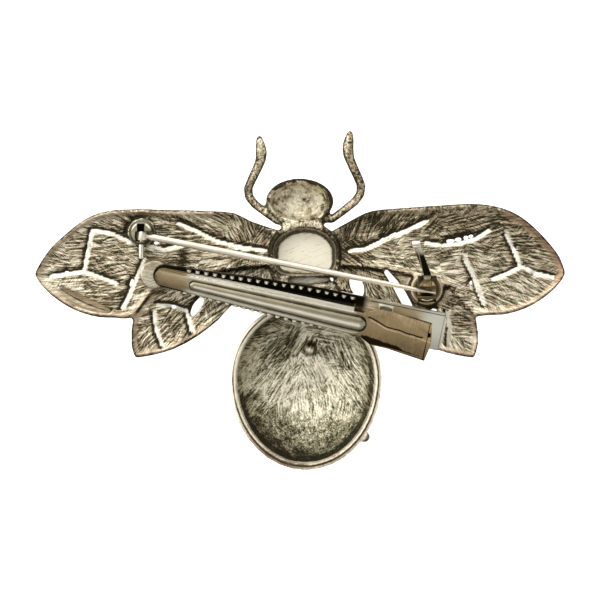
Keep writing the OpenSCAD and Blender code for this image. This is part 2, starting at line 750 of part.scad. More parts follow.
module clip_top_jaw() {
    lift = 0.12;
    flange_rise = 1.3;
    rib_from = -0.825 * lever_front;
    rib_to = -3.6;
    slope = (shoulder_h - 0.15 - tip_h) / (lever_front + 1 - bend_x);
    hole_side = 0.75;
    hole_w = 0.45;
    hole_len = 0.7;
    color([0.72, 0.68, 0.58])
        difference() {
            union() {
                difference() {
                    intersection() {
                        across_clip(concat(lever_top(0), [
                            [flange_end, lift + flange_rise], [0, lift], [-lever_front - 1, lift]
                        ]), 2 * far);
                        through_clip() channel_plan(0, flange_end);
                    }
                    intersection() {
                        across_clip(concat(lever_top(sheet_t), [
                            [lever_tail + 1, -1], [-lever_front - 1, -1]
                        ]), 2 * far);
                        through_clip() channel_plan(sheet_t, far);
                    }
                }
                intersection() {
                    across_clip(
                        concat(lever_top(0), [for (i = [3 : -1 : 0]) lever_top(sheet_t)[i]]), 2 * far
                    );
                    through_clip() tail_plan();
                }
                intersection() {
                    across_clip([
                        [-lever_front, tip_h - sheet_t], [-lever_front, tip_h + slope + rib_h],
                        [-bend_x, shoulder_h - 0.15 + rib_h], [0, shoulder_h + rib_h],
                        [0, shoulder_h - sheet_t], [-bend_x, shoulder_h - 0.15 - sheet_t]
                    ], 2 * far);
                    through_clip() {
                        polygon([
                            [rib_from, -rib_tip_r], [rib_to, -rib_root_r],
                            [rib_to, rib_root_r], [rib_from, rib_tip_r]
                        ]);
                        translate([rib_from, 0]) circle(r = rib_tip_r, $fn = fine);
                        translate([rib_to, 0]) circle(r = rib_root_r, $fn = fine);
                    }
                }
            }
            translate([0.9 * lever_tail, hole_side, 0]) cube([hole_w, hole_len, far]);
            rotate([90, 0, 0]) cylinder(d = axle_d + 2 * turn_fit, h = 2 * far, center = true, $fn = fine);
        }
}

module placed_top_jaw() {
    at_clip() clip_top_jaw();
}

module clip_base_jaw() {
    nose = jaw_tip_w / 2;
    half = jaw_w / 2;
    teeth = floor((base_front - teeth_from - teeth_to) / tooth_pitch);
    ear_foot = axle_h + sheet_t / 2;
    color([0.80, 0.79, 0.74])
        difference() {
            union() {
                translate([0, 0, -base_low]) linear_extrude(sheet_t) {
                    polygon([
                        [-base_front + nose, nose], [-base_front + nose, -nose],
                        [jaw_taper - base_front, -half], [base_tail - 0.4, -half], [base_tail, -half * 0.55],
                        [base_tail, half * 0.55], [base_tail - 0.4, half], [jaw_taper - base_front, half]
                    ]);
                    translate([-base_front + nose, 0]) circle(r = nose, $fn = fine);
                }
                for (s = [-1, 1], i = [0 : teeth - 1])
                    let (x = -teeth_from - i * tooth_pitch)
                    translate([x, s * (jaw_half(x) - 0.8 * tooth_t), -axle_h])
                        rotate([90, 0, 0]) translate([0, 0, -tooth_t / 2]) linear_extrude(tooth_t)
                            polygon([
                                [-tooth_pitch / 2, -sheet_t / 2], [-tooth_pitch / 2, 0.12], [-0.12, tooth_h],
                                [0.12, tooth_h], [tooth_pitch / 2, 0.12], [tooth_pitch / 2, -sheet_t / 2]
                            ]);
                for (s = [-1, 1])
                    translate([0, s * (ear_in + ear_out) / 2, 0]) rotate([90, 0, 0])
                        translate([0, 0, -sheet_t / 2]) {
                            cylinder(r = ear_r, h = sheet_t, $fn = fine);
                            translate([-ear_r, -ear_foot, 0]) cube([2 * ear_r, ear_foot, sheet_t]);
                        }
            }
            rotate([90, 0, 0]) cylinder(d = axle_d + 2 * set_fit, h = 2 * far, center = true, $fn = fine);
        }
}

module placed_base_jaw() {
    at_clip() clip_base_jaw();
}

module clip_axle() {
    long = 2 * (ear_out + set_fit);
    color([0.55, 0.53, 0.47])
        at_clip() rotate([90, 0, 0]) {
            cylinder(d = axle_d, h = long, center = true, $fn = fine);
            for (s = [0, 1])
                mirror([0, 0, s]) translate([0, 0, long / 2]) cylinder(d = axle_d + 0.7, h = 0.3, $fn = fine);
        }
}

module clip_spring() {
    half = clip_half(-coil_d / 2) - sheet_t - side_gap;
    leg = 0.4;
    leg_len = 5.5;
    color([0.45, 0.43, 0.38])
        at_clip() difference() {
            union() {
                rotate([90, 0, 0]) cylinder(d = coil_d, h = 2 * half, center = true, $fn = fine);
                translate([0, half - leg, leg / 4 - coil_d / 2]) rotate([0, 90, 0])
                    cylinder(d = leg, h = leg_len, $fn = fine);
            }
            rotate([90, 0, 0]) cylinder(d = axle_d + 0.2, h = 2 * far, center = true, $fn = fine);
        }
}

module placed() {
    translate([shift_x, shift_y, 0]) children();
}

placed() bee_casting();
placed() hinge_bracket();
placed() hinge_rivet();
placed() pin_stem();
placed() catch_housing();
placed() catch_roller();
placed() placed_base_jaw();  // clip_base_jaw
placed() placed_top_jaw();  // clip_top_jaw
placed() clip_axle();
placed() clip_spring();
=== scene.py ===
import json
import math

import bpy
import numpy as np
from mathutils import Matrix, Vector, bvhtree, kdtree, noise


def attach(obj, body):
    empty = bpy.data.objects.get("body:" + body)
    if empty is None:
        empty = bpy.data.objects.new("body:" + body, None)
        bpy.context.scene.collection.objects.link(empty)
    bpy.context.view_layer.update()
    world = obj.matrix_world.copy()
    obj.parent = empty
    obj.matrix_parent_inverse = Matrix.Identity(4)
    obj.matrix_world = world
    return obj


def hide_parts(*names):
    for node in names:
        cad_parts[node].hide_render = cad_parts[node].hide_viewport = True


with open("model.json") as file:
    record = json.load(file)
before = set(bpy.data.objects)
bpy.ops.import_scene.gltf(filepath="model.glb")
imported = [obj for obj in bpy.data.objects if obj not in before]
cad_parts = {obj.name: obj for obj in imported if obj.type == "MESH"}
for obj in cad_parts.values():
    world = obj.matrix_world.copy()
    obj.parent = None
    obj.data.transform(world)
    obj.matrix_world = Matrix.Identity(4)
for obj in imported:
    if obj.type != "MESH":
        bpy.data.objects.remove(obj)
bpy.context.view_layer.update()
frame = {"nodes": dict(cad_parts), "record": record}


# The bee: one casting of white metal, plated in silver and darkened in its hollows. The model for it was scratched
# by hand with a blade, in patches of short lines that fan out over the wings and down the belly, and cut through
# or half through along the veins.
class Signal:
    """A shader socket. Arithmetic on it adds Math nodes, and node() adds a node of any other kind."""

    def __init__(self, tree, socket=None):
        self.tree, self.socket = tree, socket

    def node(self, kind, settings=None, sockets=None, out=0):
        made = self.tree.nodes.new(kind)
        for name, value in (settings or {}).items():
            setattr(made, name, value)
        for name, value in (sockets or {}).items():
            if isinstance(value, Signal):
                self.tree.links.new(value.socket, made.inputs[name])
            else:
                made.inputs[name].default_value = value
        return Signal(self.tree, made.outputs[out])

    def math(self, operation, *others, clamp=False):
        settings = {"operation": operation, "use_clamp": clamp}
        return self.node("ShaderNodeMath", settings, dict(enumerate((self, *others))))

    def __add__(self, other):
        return self.math("ADD", other)

    def __sub__(self, other):
        return self.math("SUBTRACT", other)

    def __rsub__(self, other):
        return self.math("MULTIPLY_ADD", -1, other)

    def __mul__(self, other):
        return self.math("MULTIPLY", other)

    def __truediv__(self, other):
        return self.math("DIVIDE", other)

    def __pow__(self, other):
        return self.math("POWER", other)

    def __abs__(self):
        return self.math("ABSOLUTE")

    __radd__ = __add__
    __rmul__ = __mul__

    def most(self, other):
        """The larger of this and the other."""
        return self.math("MAXIMUM", other)

    def least(self, other):
        """The smaller of this and the other."""
        return self.math("MINIMUM", other)

    def held(self):
        """Kept between 0 and 1."""
        return self.math("MAXIMUM", 0.0, clamp=True)

    def within(self, low, high):
        """0 at low, 1 at high, eased between."""
        settings = {"interpolation_type": "SMOOTHSTEP"}
        return self.node("ShaderNodeMapRange", settings, {"Value": self, "From Min": low, "From Max": high})

    def near(self, middle, reach):
        """1 at the middle, falling to 0 at the reach on either side."""
        return 1 - abs(self - middle).within(0.0, reach)

    def mixed(self, first, second):
        """Colour between first and second, this signal being the share of second."""
        return self.node("ShaderNodeMix", {"data_type": "RGBA"}, {0: self, 6: first, 7: second}, out=2)

    def noise(self, place, scale, detail=2.0, rough=0.55):
        sockets = {"Vector": place, "Scale": scale, "Detail": detail, "Roughness": rough}
        return self.node("ShaderNodeTexNoise", None, sockets)

    def vector(self, x, y, z):
        return self.node("ShaderNodeCombineXYZ", None, {"X": x, "Y": y, "Z": z})

    def parts(self):
        """The three numbers of a vector."""
        made = self.node("ShaderNodeSeparateXYZ", None, {"Vector": self}).socket.node
        return [Signal(self.tree, made.outputs[k]) for k in "XYZ"]

    def layer(self, name):
        """A value that the mesh carries at its points."""
        return self.node("ShaderNodeAttribute", {"attribute_name": name}, out="Fac")

    def feed(self, shader, name):
        """Links this to an input of a shader."""
        self.tree.links.new(self.socket, shader.inputs[name])


def metal_finish(name):
    """A bare metal: its material, its shader, and the place of each point in millimetres."""
    made = bpy.data.materials.new(name)
    made.use_nodes = True
    shader = made.node_tree.nodes["Principled BSDF"]
    shader.inputs["Metallic"].default_value = 1.0
    start = Signal(made.node_tree)
    spot = start.node("ShaderNodeTexCoord", out="Object")
    return made, shader, spot.node("ShaderNodeVectorMath", {"operation": "SCALE"}, {"Vector": spot, "Scale": 1000.0})


def colour(red, green, blue):
    """A colour as it is seen, 0 to 255, made linear for a shader."""
    return (*[((v / 255 + 0.055) / 1.055) ** 2.4 for v in (red, green, blue)], 1)


def only(piece):
    """Nothing else selected, and piece active."""
    bpy.ops.object.select_all(action="DESELECT")
    piece.select_set(True)
    bpy.context.view_layer.objects.active = piece


def merged_copy(node, name):
    """A copy of a CAD node's mesh as a piece of its own, with its loose triangles merged."""
    piece = frame["nodes"][node].copy()
    piece.data = piece.data.copy()
    piece.name = name
    piece.data.name = name
    piece.parent = None
    for key in list(piece.keys()):
        del piece[key]
    piece.data.materials.clear()
    bpy.context.scene.collection.objects.link(piece)
    only(piece)
    bpy.ops.object.mode_set(mode="EDIT")
    bpy.ops.mesh.select_all(action="SELECT")
    bpy.ops.mesh.remove_doubles(threshold=0.000002)
    bpy.ops.object.mode_set(mode="OBJECT")
    return piece


def applied(piece, kind, **settings):
    """Adds a modifier with these settings and applies it."""
    only(piece)
    modifier = piece.modifiers.new(kind.lower(), kind)
    for name, value in settings.items():
        setattr(modifier, name, value)
    bpy.ops.object.modifier_apply(modifier=modifier.name)


def points_of(piece):
    """Places in millimetres and normals of all points."""
    mesh = piece.data
    places = np.empty(len(mesh.vertices) * 3)
    normals = np.empty(len(mesh.vertices) * 3)
    mesh.vertices.foreach_get("co", places)
    mesh.vertex_normals.foreach_get("vector", normals)
    return places.reshape(-1, 3) * 1000, normals.reshape(-1, 3)


def eased(values, low, high):
    """0 at low, 1 at high, eased between."""
    share = np.clip((values - low) / (high - low), 0, 1)
    return share * share * (3 - 2 * share)


def grain(places, size):
    """Smooth noise about 0, with bumps of about this size in millimetres."""
    return np.array([noise.noise(Vector(p)) for p in places / size])


# Width of the casting's finest facets in metres, and then its places and sizes in millimetres
cast_detail = 0.00026
bee_middle = 0.7
wing_root = (5.2, 7.4)
belly_apex = (1.2, -3.2)
belly_place, belly_half, belly_up, belly_low = (0.85, -11.78), 11.47, 11.7, 13.8
thorax_place, thorax_half, thorax_long = (0.7, 6.37), 5.35, 5.3
head_place, head_half, head_long = (-0.05, 14.83), 5.1, 3.45
thorax_floor, floor_rise, floor_tilt = 5.0, -0.08, 0.05
wing_stroke, belly_stroke, pebble, belly_pebble, low_pebble, rim_pebble = 0.035, 0.045, 0.04, 0.03, 0.07, 0.06
head_lump, head_crease, head_raise, swell = 0.36, 0.12, 1.6, 0.16
bevel_deep, lip_high, cut_deep, lens_deep = 0.38, 0.14, 0.16, 0.35

bee = merged_copy("bee_casting", "bee_cast")
applied(bee, "REMESH", mode="VOXEL", voxel_size=cast_detail, adaptivity=0.0)
applied(bee, "SMOOTH", factor=0.5, iterations=2)
bpy.ops.object.shade_smooth()

place, normal = points_of(bee)
x, y, z = place.T
side = x - bee_middle
up_facing = eased(normal[:, 2], 0.15, 0.6)


def in_egg(middle, half, up, low):
    """Share of the way from an egg's middle to its edge."""
    along = y - middle[1]
    return np.hypot((x - middle[0]) / half, along / np.where(along > 0, up, low))


belly = in_egg(belly_place, belly_half, belly_up, belly_low)
thorax = in_egg(thorax_place, thorax_half, thorax_long, thorax_long)
head = in_egg(head_place, head_half, head_long, head_long)
in_belly = eased(belly, 0.97, 0.93)
in_thorax = eased(thorax, 0.97, 0.9) * (1 - in_belly)
in_head = eased(head, 0.95, 0.85)
on_wing = eased(np.abs(side), 5.0, 6.5) * (1 - eased(belly, 1.06, 1.0)) * eased(y, 13.5, 12.5)


def upright_strips(piece, places, normals, slot_reach=16, wing_from=5.5, few=12):
    """Upright walls, found as strips of neighbouring points: those of the pierced slots, and the longer ones."""
    upright = np.abs(normals[:, 2]) < 0.45
    pairs = np.empty(len(piece.data.edges) * 2, int)
    piece.data.edges.foreach_get("vertices", pairs)
    pairs = pairs.reshape(-1, 2)
    pairs = pairs[upright[pairs].all(axis=1)]
    label = np.arange(len(places))
    changed = True
    while changed:
        before = label.copy()
        low = np.minimum(label[pairs[:, 0]], label[pairs[:, 1]])
        np.minimum.at(label, pairs[:, 0], low)
        np.minimum.at(label, pairs[:, 1], low)
        label = label[label]
        changed = (label != before).any()
    names, where, count = np.unique(label[upright], return_inverse=True, return_counts=True)
    spots = places[upright]
    kinds = np.zeros(len(names), int)
    for number in np.nonzero(count > few)[0]:
        strip = spots[where == number]
        on_a_wing = abs(strip[:, 0].mean() - bee_middle) > wing_from
        kinds[number] = 1 if on_a_wing and np.hypot(*np.ptp(strip[:, :2], axis=0)) < slot_reach else 2
    return spots[kinds[where] == 1], spots[kinds[where] == 2]


def nearness(spots, reach):
    """Distance of each point to the nearest of these spots, seen from above and at most reach, and the way to it."""
    tree = kdtree.KDTree(len(spots))
    for number, spot in enumerate(spots):
        tree.insert((spot[0], spot[1], 0), number)
    tree.balance()
    gap = np.full(len(place), reach)
    toward = np.zeros((len(place), 2))
    for number in np.nonzero(up_facing > 0.02)[0]:
        spot, _, distance = tree.find((x[number], y[number], 0))
        if distance < reach:
            gap[number] = distance
            toward[number] = spot[0] - x[number], spot[1] - y[number]
    return gap, toward


slot_walls, outer_walls = upright_strips(bee, place, normal)
slot_gap, slot_way = nearness(slot_walls, 1.6)
edge_gap, _ = nearness(outer_walls, 2.4)

# The veins are cut along these lines, in millimetres, by a tool that leans to one side: each cut has a long bevel on
# the side that blade_lean points to, and a raised lip on the other
blade_lean = (-0.6, 0.8)
vein_lines = [
    [(-31.3, 10.4), (-32.0, 7.1), (-32.5, 4.3), (-34.7, 4.0), (-37.4, 3.6)],
    [(-32.5, 4.3), (-30.2, 3.5), (-27.6, 2.5)],
    [(-31.0, 10.5), (-28.3, 10.0), (-25.9, 8.9), (-24.8, 8.5)],
    [(-22.9, 8.2), (-20.5, 7.6), (-17.8, 8.2)],
    [(-18.2, 11.5), (-15.6, 10.4), (-12.6, 8.9), (-9.3, 8.0), (-5.1, 7.4)],
    [(-23.5, 5.9), (-24.6, 3.3), (-26.1, -0.1), (-26.7, -1.1)],
    [(-21.4, -0.7), (-19.3, -0.9), (-17.1, -1.6), (-16.3, -4.6)],
    [(-22.0, -1.9), (-21.6, -4.6), (-20.8, -6.7)],
    [(18.9, 11.8), (15.9, 10.4), (12.9, 9.2), (9.9, 7.7), (7.5, 7.4)],
    [(18.9, 8.6), (21.3, 8.2), (23.7, 8.5), (26.4, 9.2), (28.3, 10.4)],
    [(24.8, 6.1), (26.1, 3.5), (26.8, 1.4), (27.6, -0.5)],
    [(31.0, 9.8), (32.1, 7.7), (33.1, 5.2), (35.4, 4.1), (38.1, 3.4)],
    [(29.1, 3.2), (31.2, 4.0), (33.0, 4.9)],
    [(22.1, -1.9), (22.5, -4.3), (22.3, -6.4)],
]
vein_gap = np.full(len(place), 9.0)
vein_side = np.zeros(len(place))
for line in vein_lines:
    for (ax, ay), (bx, by) in zip(line, line[1:]):
        run = np.array((bx - ax, by - ay))
        span = np.hypot(*run)
        share = np.clip(((x - ax) * run[0] + (y - ay) * run[1]) / span ** 2, 0, 1)
        gap = np.hypot(x - ax - share * run[0], y - ay - share * run[1])
        across = np.array((-run[1], run[0])) / span
        if across @ blade_lean < 0:
            across = -across
        nearer = gap < vein_gap
        vein_gap[nearer] = gap[nearer]
        vein_side[nearer] = ((x - ax) * across[0] + (y - ay) * across[1])[nearer]
slot_side = slot_way @ blade_lean / np.maximum(slot_gap, 0.05)
bevel = eased(vein_side, 0.1, 0.3) * eased(vein_gap, 0.85, 0.35)
bevel = np.maximum(bevel, eased(slot_gap, 0.8, 0.1) * eased(slot_side, 0.1, -0.5)) * on_wing
lip = eased(-vein_side, 0.15, 0.3) * eased(vein_gap, 0.6, 0.3)
lip = np.maximum(lip, eased(slot_gap, 0.42, 0.12) * eased(slot_side, -0.1, 0.5)) * on_wing
bright_cut = eased(vein_gap, 0.34, 0.1) * on_wing

# The lens-shaped recess near the left wing's tip, in two smooth facets
lens_start, lens_stop = np.array((-36.6, 2.0)), np.array((-28.0, -1.9))
lens_long, lens_wide, lens_bow = 9.44, 1.05, 0.55
lens_run = (lens_stop - lens_start) / np.hypot(*(lens_stop - lens_start))
lens_along = ((x - lens_start[0]) * lens_run[0] + (y - lens_start[1]) * lens_run[1]) / lens_long
lens_across = (x - lens_start[0]) * -lens_run[1] + (y - lens_start[1]) * lens_run[0]
lens_across = lens_across + lens_bow * np.sin(np.pi * np.clip(lens_along, 0, 1))
lens_half = lens_wide * np.sin(np.pi * np.clip(lens_along, 0, 1)) ** 0.7 + 0.001
lens_share = np.clip(lens_across / lens_half, -1.2, 1.2)
lens = eased(np.abs(lens_share), 1.0, 0.85) * (lens_half > 0.3)

# Broad strokes of the blade, pebbly hollows and slack edges
root_x = np.abs(side) - wing_root[0]
root_y = y - wing_root[1]
fan_turn = np.arctan2(root_y, np.maximum(root_x, 0.5))
fan_reach = np.hypot(root_x, root_y)
wing_strokes = grain(np.column_stack([fan_turn * 34, fan_reach * 0.3, side * 0.05]), 1.0)
wing_strokes += 0.7 * grain(np.column_stack([fan_turn * 70, fan_reach * 0.4, side * 0.05 + 9]), 1.0)
belly_turn = np.arctan2(x - belly_apex[0], belly_apex[1] - y)
belly_reach = np.hypot(x - belly_apex[0], y - belly_apex[1])
belly_strokes = grain(np.column_stack([belly_turn * 30, belly_reach * 0.35, 0 * x]), 1.0)
belly_strokes += 0.6 * grain(np.column_stack([belly_turn * 62, belly_reach * 0.4, 0 * x + 5]), 1.0)
pebbles = grain(place, 0.9) + 0.6 * grain(place + 31, 0.5)

# The solder puddles of the fittings: place and radius
solder_places = [(-21.8, 3.9, 2.4), (0.5, 0.0, 2.6), (9.4, -3.1, 1.9)]
solder = sum(eased(np.hypot(x - sx, y - sy), r * 1.1, r * 0.8) for sx, sy, r in solder_places)
solder = np.clip(solder, 0, 1)
by_solder = sum(eased(np.hypot(x - sx, y - sy), r * 1.7, r * 1.2) for sx, sy, r in solder_places)
by_solder = np.clip(by_solder, 0, 1)
rim_band = eased(edge_gap, 1.05, 0.7) * eased(np.abs(side), 13, 16) * (1 - by_solder)
edge_line = eased(edge_gap, 0.34, 0.1) * (1 - by_solder)

lift = (wing_stroke * wing_strokes + pebble * pebbles) * on_wing
lift += belly_stroke * belly_strokes * in_belly * eased(belly, 0.2, 0.35) * eased(y, -21.5, -18)
lift += (belly_pebble + low_pebble * eased(y, -17, -21)) * pebbles * in_belly
lift += (head_lump * grain(place + 11, 2.0) + head_crease * grain(place + 23, 0.8)) * in_head
lift += head_raise * eased(head, 0.85, 0.3)
lift += swell * grain(place + 70, 3.2) * (in_belly + in_head)
lift += rim_pebble * pebbles * (1 - in_belly) * (1 - on_wing) * (1 - in_thorax)
lift *= (1 - 0.8 * rim_band) * (1 - solder)
lift += -bevel_deep * bevel + lip_high * lip - cut_deep * bright_cut
lift = lift * (1 - lens) - lens_deep * lens * (1 - np.abs(lens_share))
place[:, 2] += lift * up_facing
floor_height = thorax_floor + floor_rise * (y - thorax_place[1]) + floor_tilt * (x - thorax_place[0])
flat_floor = in_thorax * eased(z, floor_height + 0.2, floor_height - 0.1) * (up_facing > 0)
place[:, 2] = np.where(flat_floor > 0, np.maximum(z, floor_height), place[:, 2])
bee.data.vertices.foreach_set("co", (place / 1000).ravel())
bee.data.update()

# How open each point is to the room above, for the dark and the polished places
place, normal = points_of(bee)
x, y, z = place.T
tree = bvhtree.BVHTree.FromPolygons(place.tolist(), [tuple(p.vertices) for p in bee.data.polygons])
golden = math.pi * (3 - math.sqrt(5))
rays = [
    Vector((math.sqrt(1 - h * h) * math.cos(golden * k), math.sqrt(1 - h * h) * math.sin(golden * k), h))
    for k, h in enumerate(np.linspace(0.16, 0.97, 14))
]
openness = np.zeros(len(place))
for number in np.nonzero(up_facing > 0.0)[0]:
    start = Vector(place[number] + normal[number] * 0.06)
    openness[number] = sum(tree.ray_cast(start, ray, 9.0)[0] is None for ray in rays) / len(rays)

# Broad darker and brighter places, some of them painted shade and painted highlights, such as the shade on the
# belly's lower wall and the highlight on the lump at its top: middle, reach each way, and how much darker
tone_and_light_places = [
    # The wings
    (21.5, 12.0, 14, 2.6, 0.5), (33.0, 7.5, 5, 4, 0.35), (12, 11.0, 5, 2, 0.3), (-27, 10.5, 4.5, 2.5, 0.3),
    (-27.5, -1.2, 3.5, 2.2, 0.3), (-5.5, 8.5, 2.5, 3, 0.4), (7.5, 7.5, 3, 3.5, 0.45), (22, 1.5, 3, 4, 0.15),
    (19.5, 1.5, 3, 3, 0.35), (-17.5, 6.3, 0.8, 1.6, 0.6),
    # The belly
    (-1.5, -6.0, 6.5, 2.2, 0.3), (-1, -23.6, 10, 2.4, 0.8), (-6.0, -19.5, 4.5, 3.5, 0.5),
    (7.5, -20.0, 3.5, 3.5, 0.35), (0.5, -19.6, 6.5, 2.6, 0.4), (1.5, -7.4, 5.5, 1.5, 0.3),
    (6.5, -9.5, 2.0, 2.5, 0.4), (-4.5, -8.5, 2.5, 1.5, 0.35), (1.1, -7.7, 0.9, 0.6, -0.9),
    (10.8, -13, 2.2, 8, 0.15), (-8.6, -11, 2.2, 5.5, -0.45), (0.8, -12.6, 6.5, 4.6, -0.3),
    (-8.1, -15.0, 1.0, 1.3, 0.7),
    # The antennae, the neck and the head
    (-7.5, 18.5, 3.5, 6.5, 0.45), (8.2, 18.5, 3.5, 6.5, 0.5), (0.3, 11.6, 3.5, 0.9, 0.45),
    (4.4, 15, 1.0, 2.6, 0.4), (-0.5, 13.8, 3.8, 2.8, -0.4),
]
tone_and_painted_light = sum(amount * np.exp(-((x - tx) / rx) ** 2 - ((y - ty) / ry) ** 2) for tx, ty, rx, ry, amount in tone_and_light_places)
# Painted shade on the head's wall under its rim, towards the top and right
tone_and_painted_light += 0.95 * eased(head, 0.72, 0.88) * eased(y + 0.3 * x, 14.6, 16.4) * eased(head, 1.0, 0.96)

cast_silver, shader, spot = metal_finish("cast_silver")
layers = {
    "openness": openness, "in_belly": in_belly, "in_head": in_head, "on_wing": on_wing, "bevel": bevel, "lip": lip,
    "bright_cut": bright_cut, "solder": solder, "tone_and_painted_light": tone_and_painted_light, "flat_floor": flat_floor, "edge_line": edge_line,
    "rim_band": rim_band * on_wing, "lens": lens, "lens_share": lens_share, "belly": np.minimum(belly, 1.5),
    "low": eased(y, -15.5, -19.0), "high": eased(z, 6.6, 7.4) * (1 - on_wing),
    "right_rim": eased(edge_gap, 1.3, 1.0) * eased(x, 22, 26) * eased(y, 1.5, 4.0) * on_wing,
}
for name, numbers in layers.items():
    layer = bee.data.attributes.new(name, "FLOAT", "POINT")
    layer.data.foreach_set("value", np.asarray(numbers, np.float32))
carried = {name: spot.layer(name) for name in layers}


def blade_marks(spot, patch, pitch, stroke, wander, shift):
    """Patches of parallel strokes: each patch points away from the wing's root or the belly's top, more or less."""
    moved = spot.node("ShaderNodeVectorMath", {"operation": "ADD"}, {0: spot, 1: (shift, shift * 0.6, 0)})
    sockets = {"Vector": moved, "Scale": 1 / patch, "Randomness": 1.0}
    cell = spot.node("ShaderNodeTexVoronoi", {"voronoi_dimensions": "2D"}, sockets, out="Position")
    chance = Signal(spot.tree, cell.socket.node.outputs["Color"])
    cx, cy, _ = cell.parts()
    mx, my, _ = moved.parts()
    lx, ly = mx - cx, my - cy
    cx, cy = cx - shift, cy - shift * 0.6
    in_belly = carried["in_belly"]
    from_x = cx - bee_middle
    from_x = from_x - from_x.math("SIGN") * wing_root[0] * (1 - in_belly) - in_belly * (belly_apex[0] - bee_middle)
    from_y = cy - wing_root[1] + in_belly * (wing_root[1] - belly_apex[1])
    chance_x, chance_y, _ = chance.parts()
    turn = from_y.math("ARCTAN2", from_x) + (chance_x - 0.5) * wander
    cosine, sine = turn.math("COSINE"), turn.math("SINE")
    along = lx * cosine + ly * sine
    across = ly * cosine - lx * sine
    return spot.noise(spot.vector(along / stroke, across / pitch, chance_y * 50), 1.0, 3, 0.6)


coarse = blade_marks(spot, patch=5.0, pitch=0.27, stroke=2.6, wander=0.8, shift=0.0)
fine = blade_marks(spot, patch=2.4, pitch=0.17, stroke=1.3, wander=1.8, shift=37.0)
crumbs = spot.noise(spot, 2.6, 3, 0.7)
specks = spot.noise(spot, 6.5, 2, 0.6)
stains = spot.noise(spot, 0.22, 3, 0.6)
patches = spot.noise(spot, 0.55, 4, 0.7)
tints = spot.noise(spot, 1.9, 3, 0.7)
crumple = spot.noise(spot, 0.8, 4, 0.62)
dents = spot.noise(spot, 1.1, 3, 0.6)
px, py, _ = spot.parts()
polishing = spot.noise(spot.vector(px * 0.25 + py * 0.1, py * 4.0 - px * 1.6, 3.0), 1.0, 3, 0.7)

# Blade marks on the wings and in the belly, crumbs where the casting is bare and low in the belly
wing, hollow, skull, plate = (carried[name] for name in ("on_wing", "in_belly", "in_head", "flat_floor"))
bare = (1 - wing - hollow).most(0.0)
low = carried["low"] * hollow * 0.8
marks = (coarse * 0.5 + fine * 0.35 + specks * 0.15) * (1 - low) + (crumbs * 0.6 + specks * 0.4) * low
marks = marks * (1 - bare) + (crumbs * 0.55 + specks * 0.25 + coarse * 0.2) * bare
scratch = (coarse.near(0.44, 0.05) * 0.5 + fine.near(0.42, 0.04) * 0.4) * (1 - bare) * (1 - low)
egg = carried["belly"]
belly_rim = egg.within(0.885, 0.905) * (1 - egg.within(1.0, 1.03)) * carried["high"]
smooth = (carried["rim_band"] * 0.75).most(belly_rim * 0.75).most(carried["solder"] * 0.9).most(plate).held()

# How bright the plating is: worn on the ridges and rims and darker in the hollows, with painted light and shade
# added at the cuts, the lens, the belly and the head
bright = ((marks - 0.5) * 4.6 - scratch * 0.7) * (1 - smooth * 0.85) + 0.62
bright = bright - wing * (0.07 + px.within(-6.0, -12.0) * 0.07)
bright = bright + (stains - 0.5) * 1.1 - carried["tone_and_painted_light"] * 0.75 - (0.75 - carried["openness"]) * 0.3
# Painted shade on the bevel beside each cut and slot, and a painted highlight on its lip
bright = bright + carried["lip"] * 0.5 - carried["bevel"] * 0.8 + plate * 0.55
# The belly's rim is worn bright, and the belly gets painted light: brighter where its hollow is less open to the
# room
bright = bright + belly_rim * 0.55 + hollow * (0.06 + (0.9 - carried["openness"]) * 0.5)
lens, facet = carried["lens"], carried["lens_share"]
# In the lens one facet is painted lighter and the other darker as painted light and shade, with painted dark lines
# of shade at its fold and round its edge
facets = 0.42 + facet.within(0.3, -0.9) * 0.5 - facet.near(0.05, 0.2) * 0.4 + (coarse - 0.5) * 0.8
bright = bright * (1 - lens) + facets * lens - abs(facet).near(1.0, 0.14) * 0.5 * lens
right_rim = carried["right_rim"]
bright = bright * (1 - right_rim * 0.75) + (0.45 + (coarse - 0.5) * 1.2) * right_rim * 0.75
# The cuts are painted bright as a painted highlight, and the outer edges get a dark line
cut = carried["bright_cut"]
bright = bright + cut * 1.5 - carried["edge_line"] * 0.5 * (1 - cut)
rim_lines = egg.near(0.925, 0.02) * 0.5 - egg.near(0.952, 0.014) * 0.9 + egg.near(0.98, 0.02) * 0.3
bright = bright + carried["solder"] * 0.15 + rim_lines * belly_rim
# The head's hollow is painted as crumpled metal: painted glints and painted dark creases, and brighter overall as
# painted light against the shade of the hollow
painted_crumple_light = 1.02 + (crumple - 0.5) * 6.0 - crumple.near(0.46, 0.025) * 0.5
painted_crumple_light = painted_crumple_light + (marks - 0.5) * 2.5 - carried["tone_and_painted_light"] * 0.9
bright = (bright * (1 - skull) + painted_crumple_light * skull).held()
bright = (bright - polishing.near(0.4, 0.03) * 0.4 * plate + (polishing - 0.4) * 0.8 * plate).held()
bright = (bright + (patches - 0.5) * hollow * 1.7).held()

# The silver is pinkish on worn rims, olive in the belly and brown at the right wing's rim
warm = tints.within(0.42, 0.6)
dark_tint = warm.mixed(colour(58, 50, 34), colour(44, 42, 30))
mid_tint = warm.mixed(colour(176, 153, 126), colour(160, 154, 119))
light_tint = warm.mixed(colour(246, 234, 212), colour(238, 235, 208))
mid_tint = (hollow * (1 - belly_rim) * 0.7).most(0.0).mixed(mid_tint, colour(150, 148, 116))
pink = (carried["rim_band"].most(belly_rim) * 0.8).most(lens * 0.7)
mid_tint = pink.mixed(mid_tint, colour(184, 162, 136))
mid_tint = right_rim.mixed(mid_tint, colour(170, 142, 112))
base = bright.within(0.0, 0.55).mixed(dark_tint, mid_tint)
base = bright.within(0.45, 1.0).mixed(base, light_tint)
